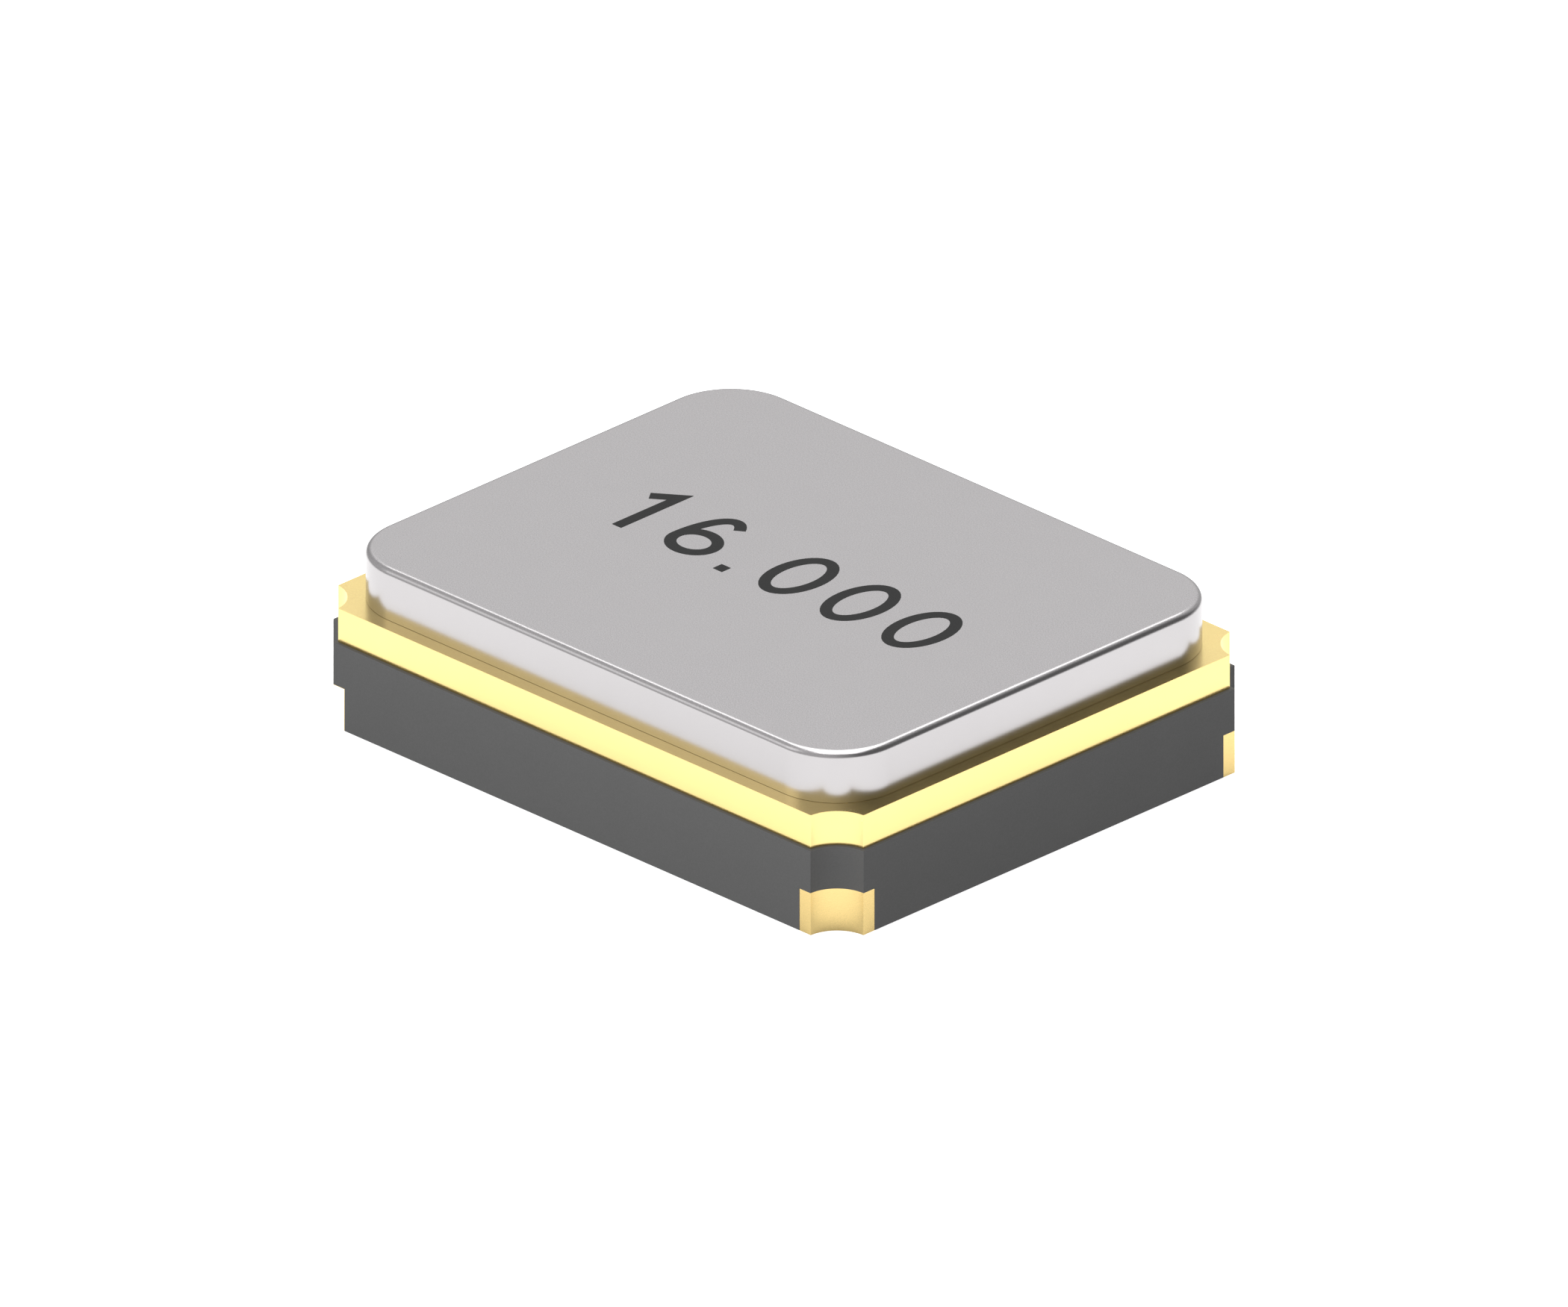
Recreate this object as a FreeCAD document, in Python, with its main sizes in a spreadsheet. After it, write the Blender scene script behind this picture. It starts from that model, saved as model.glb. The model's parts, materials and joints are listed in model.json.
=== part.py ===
"""Surface-mount quartz crystal unit in a seam-welded ceramic package.

Sizes are in millimetres and stand in the spreadsheet named Sizes. X runs along the package, Y across it
and Z up from the solder face. The origin is the middle of the solder face. Terminals are numbered
anticlockwise as seen from above, starting at the corner with the lowest X and Y.
"""

import FreeCAD, Part
import math
import os
import Sketcher

SIZES = [
    ("body_length", 2.5, "ceramic body along X"),
    ("body_width", 2.0, "ceramic body along Y"),
    ("floor_layer", 0.156, "lower ceramic layer, under the cavity"),
    ("wall_layer", 0.156, "upper ceramic layer, round the cavity"),
    ("notch_radius", 0.125, "quarter-round notch down each corner of the ceramic"),
    ("recess_radius", 0.178, "wider quarter-round in the lower layer, for the castellation metal"),
    ("cavity_wall", 0.3, "ceramic wall between the side face and the cavity"),
    ("cavity_corner", 0.15, "upright corner radius of the cavity"),
    ("pedestal_length", 0.4, "pedestal along X, from the cavity's end wall"),
    ("pedestal_width", 0.5, "pedestal along Y, from the cavity's side wall"),
    ("pedestal_height", 0.05, "pedestal above the cavity floor"),
    ("pad_length", 0.8, "solder pad along X"),
    ("pad_width", 0.65, "solder pad along Y"),
    ("pad_depth", 0.02, "solder pad thickness, flush with the solder face"),
    ("pad_inset", 0.05, "solder pad back from the side faces"),
    ("pad_corner", 0.06, "corner radius of a solder pad"),
    ("thin_lining", 0.0025, "castellation metal of terminal 1, a thin plated lining"),
    ("trace_width", 0.1, "buried trace"),
    ("trace_depth", 0.015, "buried trace thickness, under the layer boundary"),
    ("via_radius", 0.05, "filled via"),
    ("seal_margin", 0.045, "sealing frame back from the ceramic's side faces"),
    ("seal_corner", 0.25, "outer corner radius of the sealing frame"),
    ("seal_metal", 0.01, "fired sealing frame thickness"),
    ("braze_depth", 0.015, "braze thickness between sealing frame and ring"),
    ("ring_inset", 0.012, "seal ring back from the ceramic's side faces"),
    ("ring_height", 0.125, "seal ring"),
    ("window_step", 0.038, "seal ring's window back from the edge of the cavity"),
    ("window_corner", 0.2, "corner radius of the seal ring's window"),
    ("lid_step", 0.054, "lid back from the seal ring's side faces"),
    ("lid_height", 0.188, "lid plate"),
    ("lid_corner", 0.25, "upright corner radius of the lid"),
    ("lid_edge", 0.025, "rounding of the lid's upper edge"),
    ("frequency", 16.0, "resonance in megahertz"),
    ("cut_constant", 1.661, "AT cut: plate thickness times frequency, in millimetre megahertz"),
    ("blank_end_gap", 0.08, "cavity end wall to the blank"),
    ("blank_side_gap", 0.09, "cavity side wall to the blank"),
    ("film", 0.004, "electrode film, drawn thicker than the real one"),
    ("electrode_near", 0.4, "blank's held end to the electrode's patch"),
    ("electrode_far", 0.25, "electrode's patch to the blank's free end"),
    ("electrode_side", 0.18, "electrode's patch to the blank's side edge"),
    ("tab_width", 0.28, "electrode tab, centred on its adhesive dot"),
    ("contact_length", 0.3, "wrapped contact of the upper electrode, under the blank's held end"),
    ("mount_pad_margin", 0.04, "mount pad back from the pedestal's free edges"),
    ("mount_pad_depth", 0.01, "mount pad thickness"),
    ("adhesive_height", 0.03, "adhesive between mount pad and electrode"),
    ("adhesive_foot", 0.1, "radius of an adhesive dot where it wets a face"),
    ("adhesive_bulge", 0.012, "how far the side of an adhesive dot bulges, under half its height"),
]

# Terminal number: which way its corner lies along X and Y.
CORNERS = {1: (-1, -1), 2: (1, -1), 3: (1, 1), 4: (-1, 1)}

# Places worked out from the sizes, as expressions.
HALF_LENGTH = "(Sizes.body_length / 2)"
HALF_WIDTH = "(Sizes.body_width / 2)"
RIM = "(Sizes.floor_layer + Sizes.wall_layer)"
RING_TOP = f"({RIM} + Sizes.ring_height)"
CAVITY_X = f"({HALF_LENGTH} - Sizes.cavity_wall)"
CAVITY_Y = f"({HALF_WIDTH} - Sizes.cavity_wall)"
RING_X = f"({HALF_LENGTH} - Sizes.ring_inset)"
RING_Y = f"({HALF_WIDTH} - Sizes.ring_inset)"
WINDOW_X = f"({CAVITY_X} + Sizes.window_step)"
WINDOW_Y = f"({CAVITY_Y} + Sizes.window_step)"
SEAL_X = f"({HALF_LENGTH} - Sizes.seal_margin)"
SEAL_Y = f"({HALF_WIDTH} - Sizes.seal_margin)"
LID_X = f"({RING_X} - Sizes.lid_step)"
LID_Y = f"({RING_Y} - Sizes.lid_step)"
PEDESTAL_END = f"(Sizes.pedestal_length - {CAVITY_X})"
PEDESTAL_SIDE = f"({CAVITY_Y} - Sizes.pedestal_width)"
PEDESTAL_TOP = "(Sizes.floor_layer + Sizes.pedestal_height)"
MOUNT_TOP = f"({PEDESTAL_TOP} + Sizes.mount_pad_depth)"
BLANK_X = f"({CAVITY_X} - Sizes.blank_end_gap)"
BLANK_Y = f"({CAVITY_Y} - Sizes.blank_side_gap)"
BLANK_FOOT = f"({MOUNT_TOP} + Sizes.adhesive_height + Sizes.film)"
BLANK_DEPTH = "(Sizes.cut_constant / Sizes.frequency)"
BLANK_TOP = f"({BLANK_FOOT} + {BLANK_DEPTH})"
DOT_X = f"(Sizes.pedestal_length / 2 - {CAVITY_X})"
DOT_Y = f"({CAVITY_Y} - Sizes.pedestal_width / 2)"
TAB_OUTER = f"({DOT_Y} + Sizes.tab_width / 2)"
TAB_INNER = f"({DOT_Y} - Sizes.tab_width / 2)"
WALL_MIDDLE = f"({HALF_WIDTH} - Sizes.cavity_wall / 2)"
TRACE_FOOT = "(Sizes.floor_layer - Sizes.trace_depth)"
TRACE_END = f"({HALF_LENGTH} - Sizes.recess_radius / 2)"

doc = FreeCAD.newDocument("quartz_crystal")
sheet = doc.addObject("Spreadsheet::Sheet", "Sizes")
for row, (alias, size, meaning) in enumerate(SIZES, start=1):
    sheet.set(f"A{row}", alias)
    sheet.set(f"B{row}", str(size))
    sheet.set(f"C{row}", meaning)
    sheet.setAlias(f"B{row}", alias)
doc.recompute()

cuts = []


def value(expression):
    """What an expression is worth now, in millimetres."""
    return float(sheet.evalExpression(expression))


def span(side, near, far):
    """Low and high end of a stretch from near to far, on the side of the middle that side gives."""
    return (near, far) if side > 0 else (f"(-{far})", f"(-{near})")


def new_body(name):
    """A body with the name of its piece."""
    body = doc.addObject("PartDesign::Body", name)
    body.Label = name
    return body


def new_sketch(body, name, level="0", plane="XY_Plane"):
    """A sketch on one of the body's own origin planes, raised to a level."""
    sketch = body.newObject("Sketcher::SketchObject", f"{body.Name}_{name}")
    planes = {feature.Role: feature for feature in body.Origin.OriginFeatures}
    sketch.AttachmentSupport = (planes[plane], [""])
    sketch.MapMode = "FlatFace"
    sketch.setExpression("AttachmentOffset.Base.z", level)
    return sketch


def dimension(sketch, kind, where, expression):
    """A dimension tied to an expression."""
    index = sketch.addConstraint(Sketcher.Constraint(kind, *where, value(expression)))
    sketch.setExpression(f"Constraints[{index}]", expression)


def arc(sketch, x, y, radius, start):
    """A quarter circle about (x, y) that starts at the angle start, in degrees."""
    centre = FreeCAD.Vector(value(x), value(y), 0)
    circle = Part.Circle(centre, FreeCAD.Vector(0, 0, 1), value(radius))
    angle = math.radians(start)
    edge = sketch.addGeometry(Part.ArcOfCircle(circle, angle, angle + math.pi / 2))
    dimension(sketch, "DistanceX", (edge, 3), x)
    dimension(sketch, "DistanceY", (edge, 3), y)
    dimension(sketch, "Radius", (edge,), radius)
    upright = 1 if start % 180 else 2
    sketch.addConstraint(Sketcher.Constraint("Vertical", edge, upright, edge, 3))
    sketch.addConstraint(Sketcher.Constraint("Horizontal", edge, 3 - upright, edge, 3))
    return edge


def join(sketch, first, first_end, second, second_end):
    """A straight edge between the ends of two others."""
    geometry = sketch.Geometry
    ends = {1: "StartPoint", 2: "EndPoint"}
    start = getattr(geometry[first], ends[first_end])
    end = getattr(geometry[second], ends[second_end])
    edge = sketch.addGeometry(Part.LineSegment(start, end))
    sketch.addConstraint(Sketcher.Constraint("Coincident", edge, 1, first, first_end))
    sketch.addConstraint(Sketcher.Constraint("Coincident", edge, 2, second, second_end))
    return edge


def outline(sketch, across, along, radius, notched=False):
    """A rectangle with quarter-round corners, rounded off or bitten out; across and along are its spans."""
    inset = "0" if notched else radius
    low_x, high_x = f"({across[0]} + {inset})", f"({across[1]} - {inset})"
    low_y, high_y = f"({along[0]} + {inset})", f"({along[1]} - {inset})"
    centres = [(high_x, low_y), (high_x, high_y), (low_x, high_y), (low_x, low_y)]
    first = 90 if notched else 270
    edges = [
        arc(sketch, x, y, radius, (first + 90 * turn) % 360) for turn, (x, y) in enumerate(centres)
    ]
    leave, arrive = (1, 2) if notched else (2, 1)
    for edge, following in zip(edges, edges[1:] + edges[:1]):
        join(sketch, edge, leave, following, arrive)


def centred(sketch, half_x, half_y, radius, notched=False):
    """An outline about the origin."""
    outline(sketch, (f"(-{half_x})", half_x), (f"(-{half_y})", half_y), radius, notched)


def rectangle(sketch, across, along):
    """A plain rectangle between the two spans."""
    low_x, high_x = value(across[0]), value(across[1])
    low_y, high_y = value(along[0]), value(along[1])
    corners = [
        FreeCAD.Vector(low_x, low_y, 0),
        FreeCAD.Vector(high_x, low_y, 0),
        FreeCAD.Vector(high_x, high_y, 0),
        FreeCAD.Vector(low_x, high_y, 0),
    ]
    edges = [
        sketch.addGeometry(Part.LineSegment(start, end))
        for start, end in zip(corners, corners[1:] + corners[:1])
    ]
    for edge, following in zip(edges, edges[1:] + edges[:1]):
        sketch.addConstraint(Sketcher.Constraint("Coincident", edge, 2, following, 1))
    for index, edge in enumerate(edges):
        sketch.addConstraint(Sketcher.Constraint("Vertical" if index % 2 else "Horizontal", edge))
    dimension(sketch, "DistanceX", (edges[0], 1), across[0])
    dimension(sketch, "DistanceY", (edges[0], 1), along[0])
    dimension(sketch, "DistanceX", (edges[2], 1), across[1])
    dimension(sketch, "DistanceY", (edges[2], 1), along[1])


def circle(sketch, x, y, radius):
    """A full circle about (x, y)."""
    centre = FreeCAD.Vector(value(x), value(y), 0)
    edge = sketch.addGeometry(Part.Circle(centre, FreeCAD.Vector(0, 0, 1), value(radius)))
    dimension(sketch, "DistanceX", (edge, 3), x)
    dimension(sketch, "DistanceY", (edge, 3), y)
    dimension(sketch, "Radius", (edge,), radius)


def corner_of(number):
    """The corner of the ceramic body at a terminal."""
    side_x, side_y = CORNERS[number]
    x = HALF_LENGTH if side_x > 0 else f"(-{HALF_LENGTH})"
    y = HALF_WIDTH if side_y > 0 else f"(-{HALF_WIDTH})"
    return x, y


def quarter_band(sketch, number, inner, outer):
    """The quarter ring between two radii about a terminal's corner, on the body's side of it."""
    x, y = corner_of(number)
    start = 90 * (number - 1)
    inside = arc(sketch, x, y, inner, start)
    outside = arc(sketch, x, y, outer, start)
    join(sketch, inside, 1, outside, 1)
    join(sketch, inside, 2, outside, 2)


def pad(body, sketch, length):
    """Raises a sketch by a length."""
    feature = body.newObject("PartDesign::Pad", f"{sketch.Name}_pad")
    feature.Profile = sketch
    feature.setExpression("Length", length)
    return feature


def pocket(body, sketch, depth):
    """Cuts a sketch downwards by a depth, and notes the cut so that it is checked."""
    feature = body.newObject("PartDesign::Pocket", f"{sketch.Name}_pocket")
    feature.Profile = sketch
    feature.setExpression("Length", depth)
    cuts.append(feature)
    return feature


def pad_span(number):
    """Where a terminal's solder pad lies along X and Y."""
    side_x, side_y = CORNERS[number]
    edge_x = f"({HALF_LENGTH} - Sizes.pad_inset)"
    edge_y = f"({HALF_WIDTH} - Sizes.pad_inset)"
    across = span(side_x, f"({edge_x} - Sizes.pad_length)", edge_x)
    along = span(side_y, f"({edge_y} - Sizes.pad_width)", edge_y)
    return across, along


def make_terminal(number):
    """Solder pad with the castellation metal of its corner.

    Three corners have their recess filled up to the notch. Terminal 1 has a thin lining instead, on the
    recess's wall and on the ceiling that the upper layer makes.
    """
    body = new_body(f"terminal_{number}")
    lined = number == 1
    inner = "(Sizes.recess_radius - Sizes.thin_lining)" if lined else "Sizes.notch_radius"
    sketch = new_sketch(body, "pad")
    outline(sketch, *pad_span(number), "Sizes.pad_corner")
    pad(body, sketch, "Sizes.pad_depth")
    sketch = new_sketch(body, "notch", "Sizes.pad_depth")
    circle(sketch, *corner_of(number), inner)
    pocket(body, sketch, "Sizes.pad_depth")
    sketch = new_sketch(body, "castellation")
    quarter_band(sketch, number, inner, "Sizes.recess_radius")
    pad(body, sketch, "Sizes.floor_layer")
    if lined:
        sketch = new_sketch(body, "ceiling", "Sizes.floor_layer - Sizes.thin_lining")
        quarter_band(sketch, number, "Sizes.notch_radius", "Sizes.recess_radius")
        pad(body, sketch, "Sizes.thin_lining")
    return body


def trace_to_castellation(body, number, start_x):
    """Trace in the middle of the side wall, from start_x to the castellation metal of a corner.

    It stops half a recess short of the end face, inside the ceramic, and its end follows the recess.
    """
    side_x, side_y = CORNERS[number]
    sketch = new_sketch(body, "trace", TRACE_FOOT)
    near = f"({WALL_MIDDLE} - Sizes.trace_width / 2)"
    far = f"({WALL_MIDDLE} + Sizes.trace_width / 2)"
    end_x = TRACE_END if side_x > 0 else f"(-{TRACE_END})"
    across = (start_x, end_x) if side_x > 0 else (end_x, start_x)
    rectangle(sketch, across, span(side_y, near, far))
    pad(body, sketch, "Sizes.trace_depth")
    sketch = new_sketch(body, "trace_end", "Sizes.floor_layer")
    circle(sketch, *corner_of(number), "Sizes.recess_radius")
    pocket(body, sketch, "Sizes.trace_depth")


def via(body, x, y, foot, top):
    """Filled via between two levels."""
    sketch = new_sketch(body, "via", foot)
    circle(sketch, x, y, "Sizes.via_radius")
    pad(body, sketch, f"{top} - {foot}")


def make_feed_1():
    """Straight via from the first mount pad down to solder pad 1."""
    body = new_body("feed_conductor_1")
    via(body, DOT_X, f"(-{DOT_Y})", "Sizes.pad_depth", PEDESTAL_TOP)
    return body


def make_feed_3():
    """Via under the second mount pad, and a buried trace round two sides of the cavity to terminal 3."""
    body = new_body("feed_conductor_3")
    half = "Sizes.trace_width / 2"
    sketch = new_sketch(body, "branch", TRACE_FOOT)
    rectangle(sketch, (f"({DOT_X} - {half})", f"({DOT_X} + {half})"), (DOT_Y, f"({WALL_MIDDLE} + {half})"))
    pad(body, sketch, "Sizes.trace_depth")
    trace_to_castellation(body, 3, f"({DOT_X} - {half})")
    via(body, DOT_X, DOT_Y, TRACE_FOOT, PEDESTAL_TOP)
    return body


def make_ground(number):
    """Via from the sealing frame down to a short buried trace, which earths the ring and the lid."""
    side_x, side_y = CORNERS[number]
    body = new_body(f"ground_conductor_{number}")
    x = CAVITY_X if side_x > 0 else f"(-{CAVITY_X})"
    y = WALL_MIDDLE if side_y > 0 else f"(-{WALL_MIDDLE})"
    trace_to_castellation(body, number, x)
    via(body, x, y, TRACE_FOOT, f"({RIM} - Sizes.braze_depth - Sizes.seal_metal)")
    return body


def make_frame(name, foot, depth):
    """Flat frame under the ring: the fired sealing metal or the braze on it."""
    body = new_body(name)
    sketch = new_sketch(body, "frame", foot)
    centred(sketch, SEAL_X, SEAL_Y, "Sizes.seal_corner")
    centred(sketch, WINDOW_X, WINDOW_Y, "Sizes.window_corner")
    pad(body, sketch, depth)
    return body


def make_ceramic(metal):
    """Fired ceramic body, shaped round the metal that is fired or brazed into it."""
    body = new_body("ceramic_blank")
    sketch = new_sketch(body, "block")
    centred(sketch, HALF_LENGTH, HALF_WIDTH, "Sizes.notch_radius", notched=True)
    pad(body, sketch, RIM)
    sketch = new_sketch(body, "cavity", RIM)
    centred(sketch, CAVITY_X, CAVITY_Y, "Sizes.cavity_corner")
    pocket(body, sketch, "Sizes.wall_layer")
    sketch = new_sketch(body, "lined_recess", "Sizes.floor_layer")
    circle(sketch, *corner_of(1), "Sizes.recess_radius")
    pocket(body, sketch, "Sizes.floor_layer")
    wall_x = f"(-{CAVITY_X} - Sizes.cavity_wall / 2)"
    wall_y = f"({CAVITY_Y} + Sizes.cavity_wall / 2)"
    for name, side in (("pedestal_a", -1), ("pedestal_b", 1)):
        sketch = new_sketch(body, name, "Sizes.floor_layer")
        rectangle(sketch, (wall_x, PEDESTAL_END), span(side, PEDESTAL_SIDE, wall_y))
        pad(body, sketch, "Sizes.pedestal_height")
    tool = doc.addObject("Part::MultiFuse", "fired_in_metal")
    tool.Shapes = metal
    ceramic = doc.addObject("Part::Cut", "ceramic_base")
    ceramic.Base = body
    ceramic.Tool = tool
    ceramic.Label = "ceramic_base"
    return ceramic


def make_ring():
    """Seal ring with its window. Its corners are set back from the ceramic's notches as its sides are."""
    body = new_body("seal_ring")
    sketch = new_sketch(body, "frame", RIM)
    rectangle(sketch, (f"(-{RING_X})", RING_X), (f"(-{RING_Y})", RING_Y))
    centred(sketch, WINDOW_X, WINDOW_Y, "Sizes.window_corner")
    pad(body, sketch, "Sizes.ring_height")
    sketch = new_sketch(body, "notches", RING_TOP)
    for number in CORNERS:
        circle(sketch, *corner_of(number), "Sizes.notch_radius + Sizes.ring_inset")
    pocket(body, sketch, "Sizes.ring_height")
    return body


def make_lid():
    """Lid plate with a rounded upper edge."""
    body = new_body("lid")
    sketch = new_sketch(body, "plate", RING_TOP)
    centred(sketch, LID_X, LID_Y, "Sizes.lid_corner")
    plate = pad(body, sketch, "Sizes.lid_height")
    doc.recompute()
    heights = [face.CenterOfMass.z for face in plate.Shape.Faces]
    upper = f"Face{heights.index(max(heights)) + 1}"
    edge = body.newObject("PartDesign::Fillet", "lid_edge_rounding")
    edge.Base = (plate, [upper])
    edge.setExpression("Radius", "Sizes.lid_edge")
    return body


def make_mount_pad(name, side):
    """Flat pad on a pedestal, on the side of the middle that side gives."""
    body = new_body(name)
    sketch = new_sketch(body, "pad", PEDESTAL_TOP)
    end = f"({PEDESTAL_END} - Sizes.mount_pad_margin)"
    start = f"(Sizes.mount_pad_margin - {CAVITY_X})"
    inner = f"({PEDESTAL_SIDE} + Sizes.mount_pad_margin)"
    outer = f"({CAVITY_Y} - Sizes.mount_pad_margin)"
    outline(sketch, (start, end), span(side, inner, outer), "Sizes.pad_corner")
    pad(body, sketch, "Sizes.mount_pad_depth")
    return body


def make_dot(name, side):
    """Adhesive dot, turned about its own axis: flat where it wets, bulging between."""
    body = new_body(name)
    sketch = new_sketch(body, "section", plane="XZ_Plane")
    foot = value("Sizes.adhesive_foot")
    height = value("Sizes.adhesive_height")
    middle = value("Sizes.adhesive_foot + Sizes.adhesive_bulge")
    low = FreeCAD.Vector(foot, 0, 0)
    high = FreeCAD.Vector(foot, height, 0)
    axis = [FreeCAD.Vector(0, 0, 0), FreeCAD.Vector(0, height, 0)]
    base = sketch.addGeometry(Part.LineSegment(axis[0], low))
    side_arc = sketch.addGeometry(Part.Arc(low, FreeCAD.Vector(middle, height / 2, 0), high))
    top = sketch.addGeometry(Part.LineSegment(high, axis[1]))
    core = sketch.addGeometry(Part.LineSegment(axis[1], axis[0]))
    chain = [(base, 2, side_arc, 1), (side_arc, 2, top, 1), (top, 2, core, 1), (core, 2, base, 1)]
    for link in chain:
        sketch.addConstraint(Sketcher.Constraint("Coincident", *link))
    sketch.addConstraint(Sketcher.Constraint("Coincident", base, 1, -1, 1))
    sketch.addConstraint(Sketcher.Constraint("Horizontal", base))
    sketch.addConstraint(Sketcher.Constraint("Horizontal", top))
    sketch.addConstraint(Sketcher.Constraint("Vertical", core))
    sketch.addConstraint(Sketcher.Constraint("Equal", base, top))
    dimension(sketch, "DistanceX", (base, 2), "Sizes.adhesive_foot")
    dimension(sketch, "DistanceY", (top, 2), "Sizes.adhesive_height")
    half = "(Sizes.adhesive_height / 2)"
    bulge = "Sizes.adhesive_bulge"
    dimension(sketch, "Radius", (side_arc,), f"({half} * {half} + {bulge} * {bulge}) / (2 * {bulge})")
    turned = body.newObject("PartDesign::Revolution", f"{name}_turned")
    turned.Profile = sketch
    turned.ReferenceAxis = (sketch, ["V_Axis"])
    turned.Angle = 360
    body.setExpression("Placement.Base.x", DOT_X)
    body.setExpression("Placement.Base.y", DOT_Y if side > 0 else f"(-{DOT_Y})")
    body.setExpression("Placement.Base.z", MOUNT_TOP)
    return body


def make_blank():
    """AT-cut quartz plate, held at its low-X end."""
    body = new_body("quartz_blank")
    sketch = new_sketch(body, "plate", BLANK_FOOT)
    rectangle(sketch, (f"(-{BLANK_X})", BLANK_X), (f"(-{BLANK_Y})", BLANK_Y))
    pad(body, sketch, BLANK_DEPTH)
    return body


def electrode_face(body, level, side):
    """Patch in the middle of a face of the blank, with its tab to the held end."""
    sketch = new_sketch(body, "patch", level)
    start = f"(Sizes.electrode_near - {BLANK_X})"
    reach = f"({BLANK_Y} - Sizes.electrode_side)"
    rectangle(sketch, (start, f"({BLANK_X} - Sizes.electrode_far)"), (f"(-{reach})", reach))
    pad(body, sketch, "Sizes.film")
    sketch = new_sketch(body, "tab", level)
    rectangle(sketch, (f"(-{BLANK_X})", f"({start} + Sizes.tab_width)"), span(side, TAB_INNER, TAB_OUTER))
    pad(body, sketch, "Sizes.film")


def make_lower_electrode():
    """Film under the blank, with its tab over the second adhesive dot."""
    body = new_body("lower_electrode")
    electrode_face(body, f"({BLANK_FOOT} - Sizes.film)", 1)
    return body


def make_upper_electrode():
    """Film on the blank, wrapped down its held end to a contact over the first adhesive dot."""
    body = new_body("upper_electrode")
    electrode_face(body, BLANK_TOP, -1)
    along = span(-1, TAB_INNER, TAB_OUTER)
    outside = f"(-{BLANK_X} - Sizes.film)"
    sketch = new_sketch(body, "wrap", f"({BLANK_FOOT} - Sizes.film)")
    rectangle(sketch, (outside, f"(-{BLANK_X})"), along)
    pad(body, sketch, f"{BLANK_DEPTH} + 2 * Sizes.film")
    sketch = new_sketch(body, "contact", f"({BLANK_FOOT} - Sizes.film)")
    rectangle(sketch, (outside, f"(Sizes.contact_length - {BLANK_X})"), along)
    pad(body, sketch, "Sizes.film")
    return body


def check(pieces):
    """Stops if an object failed, a sketch is loose, a cut took nothing away or a piece isn't one solid."""
    faults = []
    for item in doc.Objects:
        if "Invalid" in item.State or "Error" in item.State:
            faults.append(f"{item.Name} failed")
        if item.TypeId == "Sketcher::SketchObject" and not item.FullyConstrained:
            faults.append(f"{item.Name} is not fully constrained")
    for cut in cuts:
        before = cut.BaseFeature.Shape.Volume
        if not cut.Shape.Volume < before * (1 - 1e-6):
            faults.append(f"{cut.Name} took nothing away")
    for piece in pieces:
        shape = piece.Shape
        if shape.isNull() or not shape.isValid() or len(shape.Solids) != 1:
            faults.append(f"{piece.Label} is not one valid solid")
    if faults:
        raise RuntimeError("; ".join(faults))


seal_foot = f"({RIM} - Sizes.braze_depth - Sizes.seal_metal)"
terminals = [make_terminal(number) for number in CORNERS]
conductors = [make_feed_1(), make_ground(2), make_feed_3(), make_ground(4)]
frames = [
    make_frame("seal_metallization", seal_foot, "Sizes.seal_metal"),
    make_frame("ring_braze", f"({RIM} - Sizes.braze_depth)", "Sizes.braze_depth"),
]
pieces = [make_ceramic(terminals + conductors + frames)]
pieces += terminals + conductors + frames
pieces += [make_ring(), make_lid(), make_blank(), make_upper_electrode(), make_lower_electrode()]
for letter, side in (("a", -1), ("b", 1)):
    pieces.append(make_mount_pad(f"mount_pad_{letter}", side))
    pieces.append(make_dot(f"adhesive_dot_{letter}", side))
doc.recompute()
check(pieces)

os.makedirs("parts", exist_ok=True)
for piece in pieces:
    piece.Shape.exportStep(f"parts/{piece.Label}.step")
    print(f"{piece.Label}: {piece.Shape.Volume:.6f} mm3")
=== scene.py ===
# %% [markdown]
# # A surface-mount quartz crystal unit
# The unit is a dark ceramic box 2.5 mm long. Metal is fired into its corners, a gold-plated ring is brazed
# on its rim, and a nickel-plated lid is welded on the ring. This lesson gives each of those pieces a fine
# surface and a finish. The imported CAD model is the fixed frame, and the sizes of the pieces are read from it.
# Only their fine edges, the mark and the studio have sizes of their own, as named values.

import json
import math

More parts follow.
